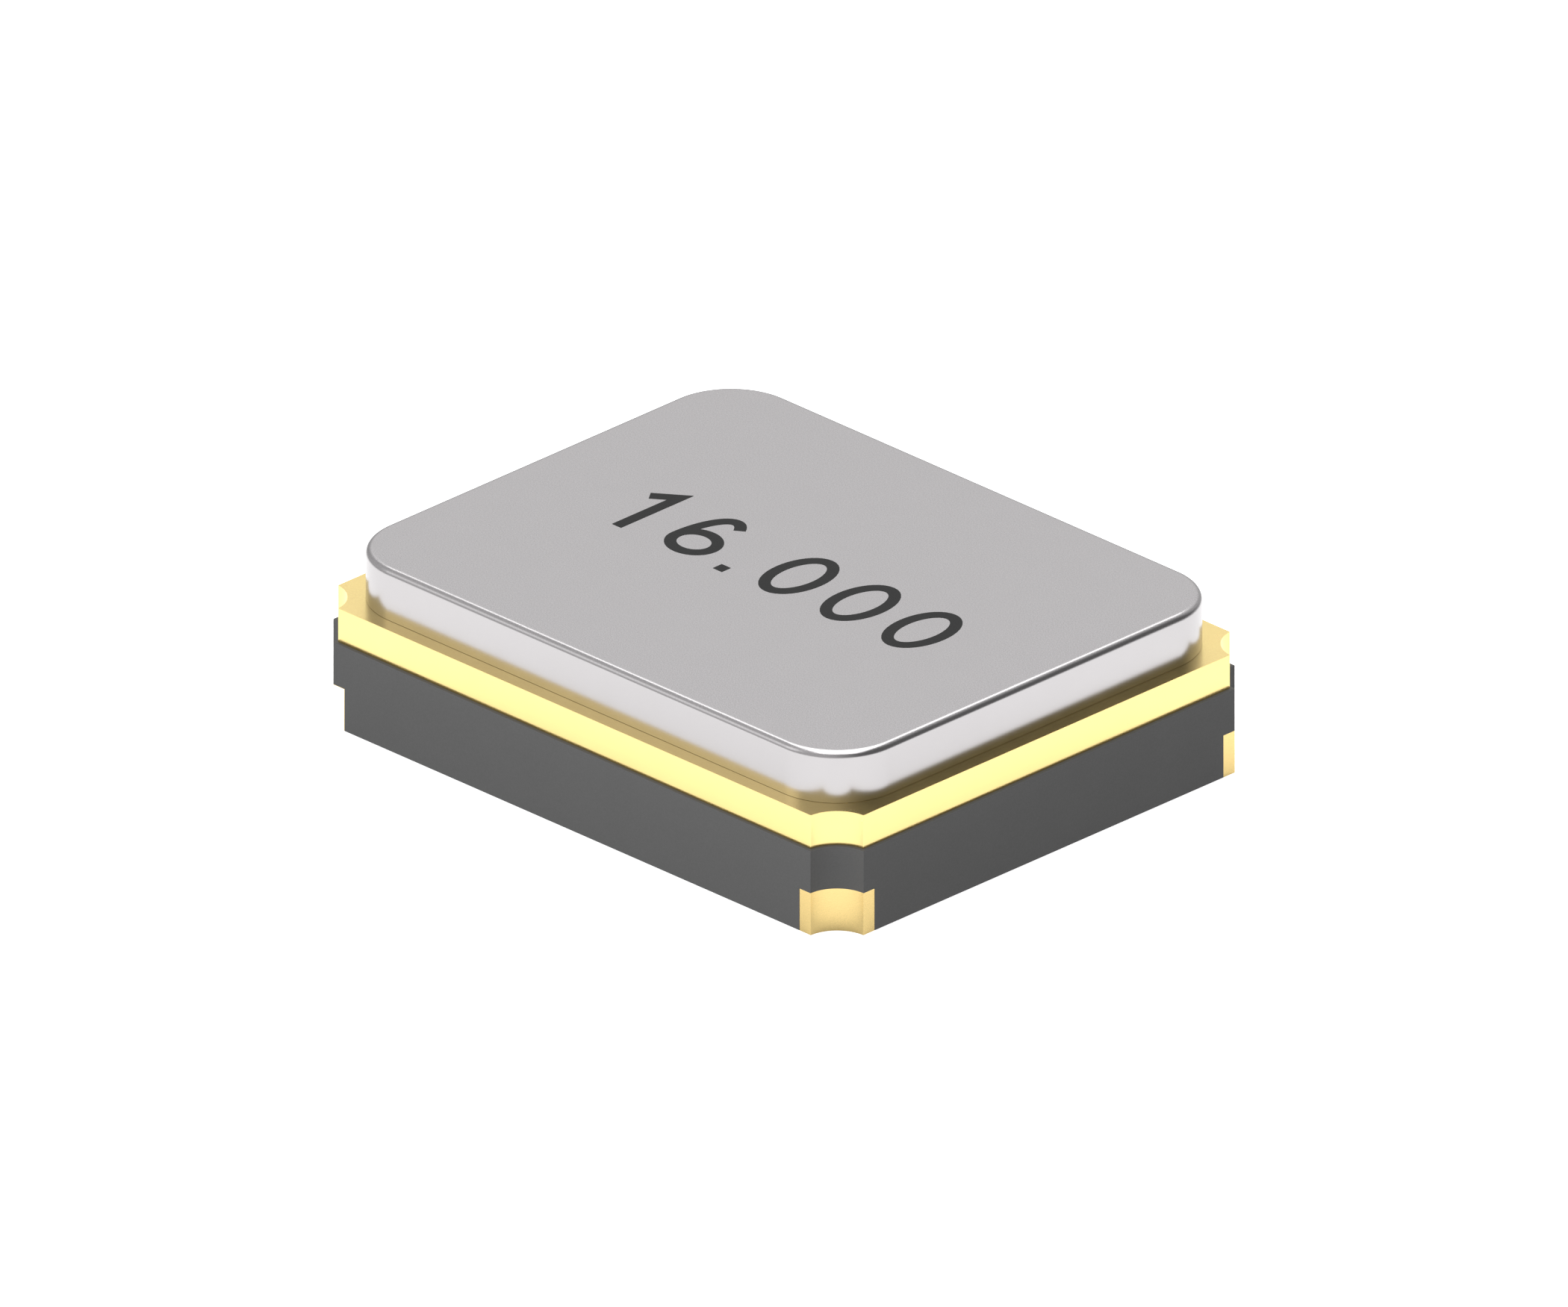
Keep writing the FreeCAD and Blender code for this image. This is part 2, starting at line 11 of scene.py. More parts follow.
import bpy
import numpy as np
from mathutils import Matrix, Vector

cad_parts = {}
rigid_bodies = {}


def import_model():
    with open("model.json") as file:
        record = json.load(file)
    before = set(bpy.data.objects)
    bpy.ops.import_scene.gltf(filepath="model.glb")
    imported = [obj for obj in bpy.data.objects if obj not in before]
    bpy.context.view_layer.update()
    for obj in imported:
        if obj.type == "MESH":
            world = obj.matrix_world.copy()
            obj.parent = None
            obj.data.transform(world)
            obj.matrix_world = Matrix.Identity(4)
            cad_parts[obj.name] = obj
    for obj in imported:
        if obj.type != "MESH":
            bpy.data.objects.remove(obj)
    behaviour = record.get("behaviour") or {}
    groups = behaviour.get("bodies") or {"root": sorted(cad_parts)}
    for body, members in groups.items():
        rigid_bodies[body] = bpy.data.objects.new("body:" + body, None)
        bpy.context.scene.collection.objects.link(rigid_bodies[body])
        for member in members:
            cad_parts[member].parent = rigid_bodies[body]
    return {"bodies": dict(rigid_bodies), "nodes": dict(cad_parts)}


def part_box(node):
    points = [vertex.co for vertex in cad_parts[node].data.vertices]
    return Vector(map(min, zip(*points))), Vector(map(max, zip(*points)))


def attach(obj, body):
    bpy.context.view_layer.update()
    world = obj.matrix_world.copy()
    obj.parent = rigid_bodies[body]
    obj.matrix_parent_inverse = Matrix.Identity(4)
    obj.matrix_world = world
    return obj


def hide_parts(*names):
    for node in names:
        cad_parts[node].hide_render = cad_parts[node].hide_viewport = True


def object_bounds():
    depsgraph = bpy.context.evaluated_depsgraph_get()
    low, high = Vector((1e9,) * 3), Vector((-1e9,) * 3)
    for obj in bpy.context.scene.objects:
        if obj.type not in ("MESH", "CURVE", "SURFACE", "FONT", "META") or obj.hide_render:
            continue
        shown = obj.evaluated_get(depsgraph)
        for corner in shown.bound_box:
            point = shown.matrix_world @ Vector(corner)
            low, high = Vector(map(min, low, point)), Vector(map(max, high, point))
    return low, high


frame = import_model()
cad_box = [list(corner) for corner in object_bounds()]
BODY = next(iter(frame["bodies"]))
MM = 0.001
MICRON = 0.001 * MM
print("nodes in the frame:", len(frame["nodes"]), "on body", BODY)

# %% [markdown]
# ## Sizes from the frame
# A CAD node arrives as a coarse mesh whose points lie on the model's true surface. Its box gives the outer
# size, and its points give the radii. The sizes could be typed in again, but then a change to the model
# would part them. A quarter-round bite has all its points at one distance from a corner of the body. A
# rounded corner ends where the straight side begins. Points less than TINY apart count as level.

# %% Measuring tools
TINY = 0.2 * MICRON


def points_of(node):
    """The points of a CAD node's mesh, one row each, in metres."""
    mesh = frame["nodes"][node].data
    flat = np.empty(len(mesh.vertices) * 3)
    mesh.vertices.foreach_get("co", flat)
    return flat.reshape(-1, 3)


def bite_radius(points, corner):
    """Least distance in plan from the points to a corner."""
    return np.hypot(*(points[:, :2] - corner).T).min()


def corner_radius(points):
    """From the box's high X side back to the last point on its low Y side."""
    front = points[points[:, 1] < points[:, 1].min() + TINY]
    return points[:, 0].max() - front[:, 0].max()


def half_sizes(points):
    """Half the length and half the width of what the points span about the origin."""
    return np.abs(points[:, :2]).max(axis=0)


def inside(points, limits):
    """The points that lie nearer the middle than the limits, along X and along Y."""
    return points[(np.abs(points[:, :2]) < np.array(limits) - TINY).all(axis=1)]


print(f"level means within {TINY / MICRON:.1f} microns")

# %% Measure the pieces
ceramic = points_of("ceramic_base")
rim_level = ceramic[:, 2].max()
layer_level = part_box("terminal_2")[1].z
body_half = half_sizes(ceramic)
body_corner = body_half * (1, -1)
notch_radius = bite_radius(ceramic[ceramic[:, 2] > rim_level - TINY], body_corner)
recess_radius = bite_radius(ceramic[ceramic[:, 2] < TINY], body_corner)
print(f"ceramic {body_half / MM * 2} mm, rim at {rim_level / MM:.3f} mm")
print(f"notch {notch_radius / MM:.3f} mm, recess {recess_radius / MM:.3f} mm")

ring = points_of("seal_ring")
ring_top = ring[:, 2].max()
ring_half = half_sizes(ring)
ring_notch = bite_radius(ring, body_corner)
window = inside(ring, body_half - ring_notch)
window_half = half_sizes(window)
window_radius = corner_radius(window)
print(f"ring {ring_half / MM * 2} mm, window {window_half / MM * 2} mm, corners {window_radius / MM:.3f} mm")

lid = points_of("lid")
lid_top = lid[:, 2].max()
lid_half = half_sizes(lid)
lid_radius = corner_radius(lid)
lid_edge = lid_top - lid[lid[:, 0] > lid_half[0] - TINY, 2].max()
print(f"lid {lid_half / MM * 2} mm, corners {lid_radius / MM:.3f} mm, edge {lid_edge / MM:.3f} mm")

floor_points = ceramic[np.abs(ceramic[:, 2] - layer_level) < TINY]
cavity = inside(floor_points, window_half)
cavity_half = half_sizes(cavity)
cavity_radius = corner_radius(cavity)
seal = points_of("ring_braze")
seal_half = half_sizes(seal)
seal_radius = corner_radius(seal)
seal_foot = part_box("seal_metallization")[0].z
pedestal_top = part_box("mount_pad_a")[0].z
print(f"cavity {cavity_half / MM * 2} mm, corners {cavity_radius / MM:.3f} mm")
print(f"sealing frame {seal_half / MM * 2} mm, corners {seal_radius / MM:.3f} mm")

# %% [markdown]
# ## Camera
# Small parts are usually drawn without perspective, so the camera is orthographic. It stands off one corner
# and looks down at the middle of the part, and its scale says how much of the world the picture spans.

# %% Camera
VIEW_AZIMUTH = math.radians(45)
VIEW_ELEVATION = math.radians(26)
VIEW_SPAN = 5.2247 * MM
VIEW_DISTANCE = 20 * MM
VIEW_NEAR = 0.1 * MM
VIEW_FAR = 500 * MM

middle = (Vector(cad_box[0]) + Vector(cad_box[1])) / 2
towards_camera = Vector((
    math.sin(VIEW_AZIMUTH) * math.cos(VIEW_ELEVATION),
    -math.cos(VIEW_AZIMUTH) * math.cos(VIEW_ELEVATION),
    math.sin(VIEW_ELEVATION),
))
camera = bpy.data.objects.new("camera", bpy.data.cameras.new("camera"))
camera.data.type = "ORTHO"
camera.data.ortho_scale = VIEW_SPAN
camera.data.clip_start = VIEW_NEAR
camera.data.clip_end = VIEW_FAR
camera.location = middle + towards_camera * VIEW_DISTANCE
camera.rotation_mode = "QUATERNION"
camera.rotation_quaternion = (-towards_camera).to_track_quat("-Z", "Y")
bpy.context.scene.collection.objects.link(camera)
bpy.context.scene.camera = camera
print("camera spans", VIEW_SPAN / MM, "mm")

# %% [markdown]
# ## Surfaces from outlines and profiles
# Every outer piece here is a plan outline with a section carried round it. An outline could be drawn as a
# curve and bevelled, but the bitten corners need a different section of arc from the rounded ones, and both
# must have the same number of points so that rows of different outlines can be joined. So each outline is
# worked out as complex numbers: one corner is written about its box corner, and turning it by a right angle
# is a product with the imaginary unit. Each outline carries its outward normals, and a section moves points
# along them.

# %% Outlines
# Points on the rounded edge of a bite, on the bite itself, and on a whole corner.
FAN = 6
ARC = 28
POINTS_A_CORNER = 2 * FAN + ARC


def arc(centre, radius, first, last, count, hollow=False):
    """Points and outward normals of a circular arc between two angles in degrees.

    A point is the centre plus the radius times the unit vector at its angle. The normal is that unit
    vector, or its opposite where the arc is hollow.
    """
    unit = np.exp(1j * np.radians(np.linspace(first, last, count)))
    return centre + radius * unit, -unit if hollow else unit


def rounded_corner(radius):
    """A quarter circle that rounds the corner off, about the box corner at high X and low Y."""
    return arc(radius * (-1 + 1j), radius, -90, 0, POINTS_A_CORNER)


def bitten_corner(radius, edge, out=0):
    """A circle bitten out of the box corner, with its two upright edges rounded.

    The circle's centre may stand out from the box corner, by the same length past both sides. An edge's
    circle touches the side and the bite, so its centre stands the edge's radius in from the side, and both
    radii away from the bite's centre.
    """
    reach = math.sqrt((radius + edge) ** 2 - (edge + out) ** 2) - out
    lean = math.degrees(math.asin((edge + out) / (radius + edge)))
    first = arc(complex(-reach, edge), edge, -90, -lean, FAN)
    bite = arc(complex(out, -out), radius, 180 - lean, 90 + lean, ARC, hollow=True)
    last = arc(complex(-edge, reach), edge, lean - 90, 0, FAN)
    return tuple(np.concatenate(pair) for pair in zip(first, bite, last))


def outline(half, corner):
    """Closed outline, anticlockwise from above: the corner turned by a right angle at each box corner."""
    turns = 1j ** np.arange(4)
    box_corners = np.array([1, 1, -1, -1]) * half[0] + 1j * np.array([-1, 1, 1, -1]) * half[1]
    offsets, normals = corner
    points = box_corners[:, None] + turns[:, None] * offsets
    return points.ravel(), (turns[:, None] * normals).ravel()


print("points in an outline:", 4 * POINTS_A_CORNER)

# %% [markdown]
# ## Sections and skins
# A section is a list of steps inwards and levels. An edge in it is a quarter circle with a very narrow flat
# strip after it. The strip keeps the shading of the arc from leaking over the large flat face beyond, which
# is cheaper than a modifier and survives every export.

# %% Sections
EDGE_STEPS = 6
STRIP = 0.4 * MICRON


def plate_section(low, high, low_edge, high_edge, steps=EDGE_STEPS):
    """Section of an upright side between two levels, with both edges rounded.

    Each edge is a quarter circle: the step in is the radius less its cosine part, and the level is the
    circle's centre plus its sine part. A strip follows each edge on the flat.
    """
    turn = np.linspace(0, math.pi / 2, steps)
    low_in = low_edge * (1 - np.cos(turn[::-1]))
    low_level = low + low_edge * (1 - np.sin(turn[::-1]))
    high_in = high_edge * (1 - np.cos(turn))
    high_level = high - high_edge * (1 - np.sin(turn))
    steps_in = np.concatenate([[low_edge + STRIP], low_in, high_in, [high_edge + STRIP]])
    levels = np.concatenate([[low], low_level, high_level, [high]])
    return steps_in, levels


def carry(plan, steps_in, levels):
    """Rows of points: the outline moved inwards along its normals, at each level of the section."""
    points, normals = plan
    moved = points - np.asarray(steps_in)[:, None] * normals
    heights = np.broadcast_to(np.asarray(levels)[:, None], moved.shape)
    return np.stack([moved.real, moved.imag, heights], axis=-1)


print(f"an edge has {EDGE_STEPS} points and a strip {STRIP / MICRON:.1f} microns wide")

# %% Skins and pieces
SHARP_ANGLE = math.radians(40)


def skin(rows, columns, closed_rows=False):
    """Four-sided faces between neighbours of a grid. Its columns close on themselves, its rows may."""
    down = np.arange(rows if closed_rows else rows - 1)[:, None]
    along = np.arange(columns)[None, :]
    next_down = (down + 1) % rows
    next_along = (along + 1) % columns
    corners = [
        down * columns + along,
        down * columns + next_along,
        next_down * columns + next_along,
        next_down * columns + along,
    ]
    return np.stack(np.broadcast_arrays(*corners), axis=-1).reshape(-1, 4)


def shell(grid, closed=False):
    """A grid of rows as points and faces: the rows close on themselves, or both end rows get a flat cap."""
    rows, columns = grid.shape[:2]
    faces = skin(rows, columns, closed_rows=closed).tolist()
    if not closed:
        faces.append(list(range(columns))[::-1])
        faces.append(list(range((rows - 1) * columns, rows * columns)))
    return grid.reshape(-1, 3), faces


def piece(name, shells, material, replaces=()):
    """One object from one or more closed shells, at the origin, riding on the part's only body.
    """
    points = []
    faces = []
    for shell_points, shell_faces in shells:
        start = sum(len(group) for group in points)
        points.append(shell_points)
        faces += [[start + index for index in face] for face in shell_faces]
    mesh = bpy.data.meshes.new(name)
    mesh.from_pydata(np.concatenate(points).tolist(), [], faces)
    mesh.polygons.foreach_set("use_smooth", np.ones(len(mesh.polygons), bool))
    mesh.set_sharp_from_angle(angle=SHARP_ANGLE)
    mesh.materials.append(material)
    made = bpy.data.objects.new(name, mesh)
    bpy.context.scene.collection.objects.link(made)
    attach(made, BODY)
    if replaces:
        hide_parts(*replaces)
    print(f"{name}: {len(mesh.vertices)} points, {len(mesh.polygons)} faces")


# %% [markdown]
# ## Grain, shared by all finishes
# Nothing on the part is mirror smooth. Fired ceramic shows its grains, and plating copies the tiny pits and
# rolling marks of the metal under it. One node group makes that grain for every finish: a fine speckle and a
# slow cloud, both plain noise. Each material mixes its own share of them into its colour, roughness and
# bump. Patterns read Object coordinates, which a Mapping node turns into millimetres.

# %% Grain group
SPECKLE_SIZE = 0.006
CLOUD_SIZE = 0.12
CLOUD_SHARE = 0.2
NOISE_DETAIL = {"Speckle": 2, "Cloud": 4}


def make_grain_group():
    """Node group: noise at two sizes in millimetres, as Speckle, Cloud and a Height for bump."""
    group = bpy.data.node_groups.new("grain", "ShaderNodeTree")
    usual = {"Speckle Size": SPECKLE_SIZE, "Cloud Size": CLOUD_SIZE, "Cloud Share": CLOUD_SHARE}
    for name, value in usual.items():
        socket = group.interface.new_socket(name, in_out="INPUT", socket_type="NodeSocketFloat")
        socket.default_value = value
    group.interface.new_socket("Vector", in_out="INPUT", socket_type="NodeSocketVector")
    for name in ("Speckle", "Cloud", "Height"):
        group.interface.new_socket(name, in_out="OUTPUT", socket_type="NodeSocketFloat")
    nodes, links = group.nodes, group.links
    inputs = nodes.new("NodeGroupInput")
    outputs = nodes.new("NodeGroupOutput")
    noises = {}
    for kind, detail in NOISE_DETAIL.items():
        scale = nodes.new("ShaderNodeMath")
        scale.operation = "DIVIDE"
        scale.inputs[0].default_value = 1
        links.new(inputs.outputs[f"{kind} Size"], scale.inputs[1])
        noise = nodes.new("ShaderNodeTexNoise")
        noise.inputs["Detail"].default_value = detail
        links.new(inputs.outputs["Vector"], noise.inputs["Vector"])
        links.new(scale.outputs[0], noise.inputs["Scale"])
        links.new(noise.outputs[0], outputs.inputs[kind])
        noises[kind] = noise.outputs[0]
    height = nodes.new("ShaderNodeMix")
    height.data_type = "FLOAT"
    links.new(inputs.outputs["Cloud Share"], height.inputs["Factor"])
    links.new(noises["Speckle"], height.inputs["A"])
    links.new(noises["Cloud"], height.inputs["B"])
    links.new(height.outputs["Result"], outputs.inputs["Height"])
    return group


grain_group = make_grain_group()
print("grain group sockets:", [item.name for item in grain_group.interface.items_tree])

# %% [markdown]
# ## One recipe, many finishes
# A finish is a pair of colours that the speckle mixes, a range of roughness that the slow cloud moves
# through, and a bump depth. It could be painted on each piece, but one recipe keeps all of them alike and
# needs no image. Values that are the same all over go straight on the shader's own sockets.

# %% From grain to colour
NOISE_LOW = 0.25
NOISE_HIGH = 0.75


def map_range(tree, source, low, high):
    """Stretches noise from where it usually lies over the range from low to high."""
    node = tree.nodes.new("ShaderNodeMapRange")
    node.inputs["From Min"].default_value = NOISE_LOW
    node.inputs["From Max"].default_value = NOISE_HIGH
    node.inputs["To Min"].default_value = low
    node.inputs["To Max"].default_value = high
    tree.links.new(source, node.inputs["Value"])
    return node.outputs["Result"]


def mix_colours(tree, factor, dark, light):
    """Colour between two, as the factor goes from nought to one."""
    node = tree.nodes.new("ShaderNodeMix")
    node.data_type = "RGBA"
    node.inputs["A"].default_value = (*dark, 1)
    node.inputs["B"].default_value = (*light, 1)
    tree.links.new(factor, node.inputs["Factor"])
    return node.outputs["Result"]


def on_level_faces(tree, place, source):
    """Keeps the noise where the surface lies level, and evens it out to its middle on upright sides."""
    parts = tree.nodes.new("ShaderNodeSeparateXYZ")
    tree.links.new(place.outputs["Normal"], parts.inputs["Vector"])
    level = tree.nodes.new("ShaderNodeMath")
    level.operation = "ABSOLUTE"
    tree.links.new(parts.outputs["Z"], level.inputs[0])
    even = tree.nodes.new("ShaderNodeMix")
    even.inputs["A"].default_value = (NOISE_LOW + NOISE_HIGH) / 2
    tree.links.new(level.outputs["Value"], even.inputs["Factor"])
    tree.links.new(source, even.inputs["B"])
    return even.outputs["Result"]


print("noise is taken to lie between", NOISE_LOW, "and", NOISE_HIGH)

# %% Finish recipe
def finish(
    name, colour, spread, roughness, bump, plain, speckle=SPECKLE_SIZE, cloud=CLOUD_SIZE, sheet=False
):
    """A material from the grain group.

    The speckle takes the colour down and up by the spread, a share of it. On sheet metal it lies on the
    rolled faces and leaves the cut sides even. The sizes of speckle and cloud are in millimetres, and the
    bump is the grain's height in microns. The plain values go on the shader's own sockets.
    """
    material = bpy.data.materials.new(name)
    material.use_nodes = True
    tree = material.node_tree
    shader = tree.nodes["Principled BSDF"]
    place = tree.nodes.new("ShaderNodeTexCoord")
    millimetres = tree.nodes.new("ShaderNodeMapping")
    millimetres.inputs["Scale"].default_value = (1 / MM, 1 / MM, 1 / MM)
    tree.links.new(place.outputs["Object"], millimetres.inputs["Vector"])
    grain = tree.nodes.new("ShaderNodeGroup")
    grain.node_tree = grain_group
    grain.inputs["Speckle Size"].default_value = speckle
    grain.inputs["Cloud Size"].default_value = cloud
    tree.links.new(millimetres.outputs["Vector"], grain.inputs["Vector"])
    dark = [channel * (1 - spread) for channel in colour]
    light = [min(channel * (1 + spread), 1) for channel in colour]
    pattern = grain.outputs["Speckle"]
    if sheet:
        pattern = on_level_faces(tree, place, pattern)
    factor = map_range(tree, pattern, 0, 1)
    tree.links.new(mix_colours(tree, factor, dark, light), shader.inputs["Base Color"])
    tree.links.new(map_range(tree, grain.outputs["Cloud"], *roughness), shader.inputs["Roughness"])
    relief = tree.nodes.new("ShaderNodeBump")
    relief.inputs["Distance"].default_value = bump * MICRON
    tree.links.new(grain.outputs["Height"], relief.inputs["Height"])
    tree.links.new(relief.outputs["Normal"], shader.inputs["Normal"])
    for socket, value in plain.items():
        shader.inputs[socket].default_value = value
    return material


METAL = {"Metallic": 1}
print("plain values of a metal:", METAL)

# %% [markdown]
# ## The finishes
# The colours are linear, and a metal has its reflectance as colour. Alumina with dark oxides fires to a matt
# grey. Ring and lid are rolled sheet, so their grain lies on the flat faces. The gold on the ring lies on
# smooth alloy and looks lighter than the gold on the pads, which lies on rough fired tungsten.

# %% Finishes
dark_alumina = finish(
    "dark alumina", (0.198, 0.198, 0.198), 0.04, (0.66, 0.78), 0.1, {"Specular IOR Level": 0.12}
)
nickel_plate = finish(
    "nickel plating", (0.5, 0.484, 0.49), 0.17, (0.22, 0.25), 0.03, METAL, speckle=0.004, sheet=True
)
ring_gold = finish(
    "gold-plated ring", (1, 0.748, 0.31), 0.08, (0.22, 0.28), 0.05, METAL, speckle=0.004, sheet=True
)
pad_gold = finish(
    "plated pads", (0.85, 0.635, 0.264), 0.075, (0.22, 0.3), 0.06, METAL, speckle=0.003, cloud=0.4
)
fired_tungsten = finish("fired tungsten", (0.27, 0.27, 0.28), 0.15, (0.5, 0.65), 0.4, METAL)
silver_braze = finish("silver braze", (0.86, 0.83, 0.76), 0.04, (0.2, 0.3), 0.1, METAL)
silver_film = finish("electrode film", (0.9, 0.89, 0.86), 0.03, (0.18, 0.26), 0.05, METAL)
adhesive = finish(
    "silver adhesive", (0.55, 0.55, 0.54), 0.2, (0.45, 0.6), 0.6, {"Metallic": 0.4}, speckle=0.01
)
quartz = finish(
    "lapped quartz", (0.94, 0.96, 0.97), 0.02, (0.08, 0.16), 0.05, {"Transmission Weight": 1, "IOR": 1.544}
)
METALS = [nickel_plate, ring_gold, pad_gold, fired_tungsten, silver_braze, silver_film]
print("metals:", [material.name for material in METALS])
print("others:", [material.name for material in (dark_alumina, adhesive, quartz)])

# %% [markdown]
# ## Ceramic body
# The body is two layers of ceramic tape, pressed together and fired as one. The lower layer's corners are
# cut back further than the upper's, to take the castellation metal. Its surface could be made from blocks
# and booleans, but it is one section carried round: up the outer side, over the rim, into the groove for the
# sealing frame, and down into the cavity. The two pedestals inside are plain blocks. The narrow step of rim
# that shows outside the ring lies in shade beside the ring. That shade is painted: the colour drops at the
# height of the rim.

# %% Ceramic shapes
CERAMIC_EDGE = 1.2 * MICRON
UPRIGHT_EDGE = 1.8 * MICRON
PAD_STAND = 0.4 * MICRON


def rounded_outline(half, radius):
    """A rectangle with rounded corners, with the same number of points as a bitten one."""
    return outline(half, rounded_corner(radius))


def block(low, high):
    """A plain closed block between two opposite corners."""
    size = np.array(high) - np.array(low)
    unit = np.array([[0, 0], [1, 0], [1, 1], [0, 1]])
    grid = np.array([[(*corner, level) for corner in unit] for level in (0, 1)]) * size + np.array(low)
    return shell(grid)


print(f"ceramic edges: {CERAMIC_EDGE / MICRON:.1f} microns level, {UPRIGHT_EDGE / MICRON:.1f} upright")

# %% Painted shade on the rim
# Share of its colour that the painted shade leaves on the rim.
RIM_PAINTED_SHADE = 0.56


def paint_shade_above(material, level, share):
    """Paints shade: takes the colour down to a share of itself above a level in millimetres."""
    tree = material.node_tree
    base = tree.nodes["Principled BSDF"].inputs["Base Color"]
    plain = base.links[0].from_socket
    height = tree.nodes.new("ShaderNodeSeparateXYZ")
    tree.links.new(tree.nodes["Mapping"].outputs["Vector"], height.inputs["Vector"])
    above = tree.nodes.new("ShaderNodeMath")
    above.operation = "GREATER_THAN"
    above.inputs[1].default_value = level
    tree.links.new(height.outputs["Z"], above.inputs[0])
    shade = tree.nodes.new("ShaderNodeMix")
    shade.data_type = "RGBA"
    shade.blend_type = "MULTIPLY"
    shade.inputs["B"].default_value = (share, share, share, 1)
    tree.links.new(above.outputs["Value"], shade.inputs["Factor"])
    tree.links.new(plain, shade.inputs["A"])
    tree.links.new(shade.outputs["Result"], base)


# Painted shade: above this level the ceramic's colour is darkened, in place of the shade beside the ring.
painted_shade_level = rim_level - CERAMIC_EDGE / 2
paint_shade_above(dark_alumina, painted_shade_level / MM, RIM_PAINTED_SHADE)
print(f"{dark_alumina.name}: {RIM_PAINTED_SHADE} of its colour above {painted_shade_level / MM:.4f} mm")

# %% Ceramic body
recess_outline = outline(body_half, bitten_corner(recess_radius, UPRIGHT_EDGE))
body_outline = outline(body_half, bitten_corner(notch_radius, UPRIGHT_EDGE))
side_in, side_level = plate_section(PAD_STAND, rim_level, CERAMIC_EDGE, CERAMIC_EDGE)
half_way = len(side_in) // 2
seal_outline = rounded_outline(seal_half, seal_radius)
window_outline = rounded_outline(window_half, window_radius)
cavity_outline = rounded_outline(cavity_half, cavity_radius)
ceramic_rows = np.concatenate([
    carry(recess_outline, side_in[:half_way], side_level[:half_way]),
    carry(recess_outline, [0], [layer_level]),
    carry(body_outline, [0], [layer_level]),
    carry(body_outline, side_in[half_way:], side_level[half_way:]),
    carry(seal_outline, [0, 0], [rim_level, seal_foot]),
    carry(window_outline, [0, 0], [seal_foot, rim_level]),
    carry(cavity_outline, [0, 0], [rim_level, layer_level]),
])
on_pedestal = ceramic[np.abs(ceramic[:, 2] - pedestal_top) < TINY]
pedestals = []
for side in (-1, 1):
    span = on_pedestal[on_pedestal[:, 1] * side > 0]
    low = (*span[:, :2].min(axis=0), layer_level)
    high = (*span[:, :2].max(axis=0), pedestal_top)
    pedestals.append(block(low, high))
piece("ceramic_body", [shell(ceramic_rows), *pedestals], dark_alumina, ["ceramic_base"])

# %% [markdown]
# ## Seal ring
# The ring is stamped from sheet, brazed on the ceramic and plated with gold. Its corners follow the ceramic's
# notches, a little further in, and its window clears the cavity. The section closes on itself: up the outer
# side, across the top, down the window and back across the bottom. Under the ring lie two flat frames, the
# tungsten fired into the ceramic and the silver braze on it, which close on themselves in the same way.

# %% Seal ring
RING_EDGE = 0.7 * MICRON

ring_inset = body_half[0] - ring_half[0]
ring_outline = outline(ring_half, bitten_corner(ring_notch, UPRIGHT_EDGE, out=ring_inset))
ring_rows = np.concatenate([
    carry(ring_outline, *plate_section(rim_level, ring_top, RING_EDGE, RING_EDGE)),
    carry(window_outline, [0, 0], [ring_top, rim_level]),
])
piece("plated_ring", [shell(ring_rows, closed=True)], ring_gold, ["seal_ring"])


def flat_frame(name, node, material):
    """A flat frame between the sealing outline and the window, as high as the node it stands for."""
    low, high = (corner.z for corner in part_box(node))
    outside = carry(seal_outline, [0, 0], [low, high])
    inside_rows = carry(window_outline, [0, 0], [high, low])
    piece(name, [shell(np.concatenate([outside, inside_rows]), closed=True)], material, [node])


flat_frame("tungsten_frame", "seal_metallization", fired_tungsten)
flat_frame("braze_frame", "ring_braze", silver_braze)

# %% [markdown]
# ## Lid
# The lid is a plate with rounded corners and a soft upper edge, welded all round to the ring. The weld lies a
# few microns in from the edge, so a fine open seam runs round the foot, and it shows as a dark hairline. The
# top stands a little under the CAD's top, which leaves room for the mark on it.

# %% Lid
MARK_DEPTH = 0.8 * MICRON
SEAM_HEIGHT = 0.7 * MICRON
SEAM_DEPTH = 8 * MICRON
FOOT_EDGE = 0.3 * MICRON
LID_STEPS = 24

lid_outline = rounded_outline(lid_half, lid_radius)
lid_face = lid_top - MARK_DEPTH
lid_foot = ring_top + SEAM_HEIGHT
lid_rows = np.concatenate([
    carry(lid_outline, [SEAM_DEPTH, SEAM_DEPTH], [ring_top, lid_foot]),
    carry(lid_outline, *plate_section(lid_foot, lid_face, FOOT_EDGE, lid_edge, steps=LID_STEPS)),
])
piece("lid_plate", [shell(lid_rows)], nickel_plate, ["lid"])

# %% [markdown]
# ## Terminals
# Each terminal is a solder pad on the underside and a column of metal in the corner recess, a castellation,
# up which solder climbs. The column is a section in radius and level, carried round a quarter circle about
# the corner of the body. Three corners have the recess filled; the fourth has a thin lining on the recess's
# wall and under the upper layer.

# %% Castellation columns
SWEEP_SHY = 0.5


def quarter_sweep(radii, levels):
    """A closed section of radii and levels carried a quarter turn about the origin, with flat ends.

    Both ends stop short of the quarter by a part of a degree, so that the metal lies just inside the
    ceramic's faces.
    """
    turn = np.radians(np.linspace(90 - SWEEP_SHY, SWEEP_SHY, ARC))
    x = np.cos(turn)[:, None] * radii
    y = np.sin(turn)[:, None] * radii
    grid = np.stack([x, y, np.broadcast_to(levels, x.shape)], axis=-1)
    return shell(grid)


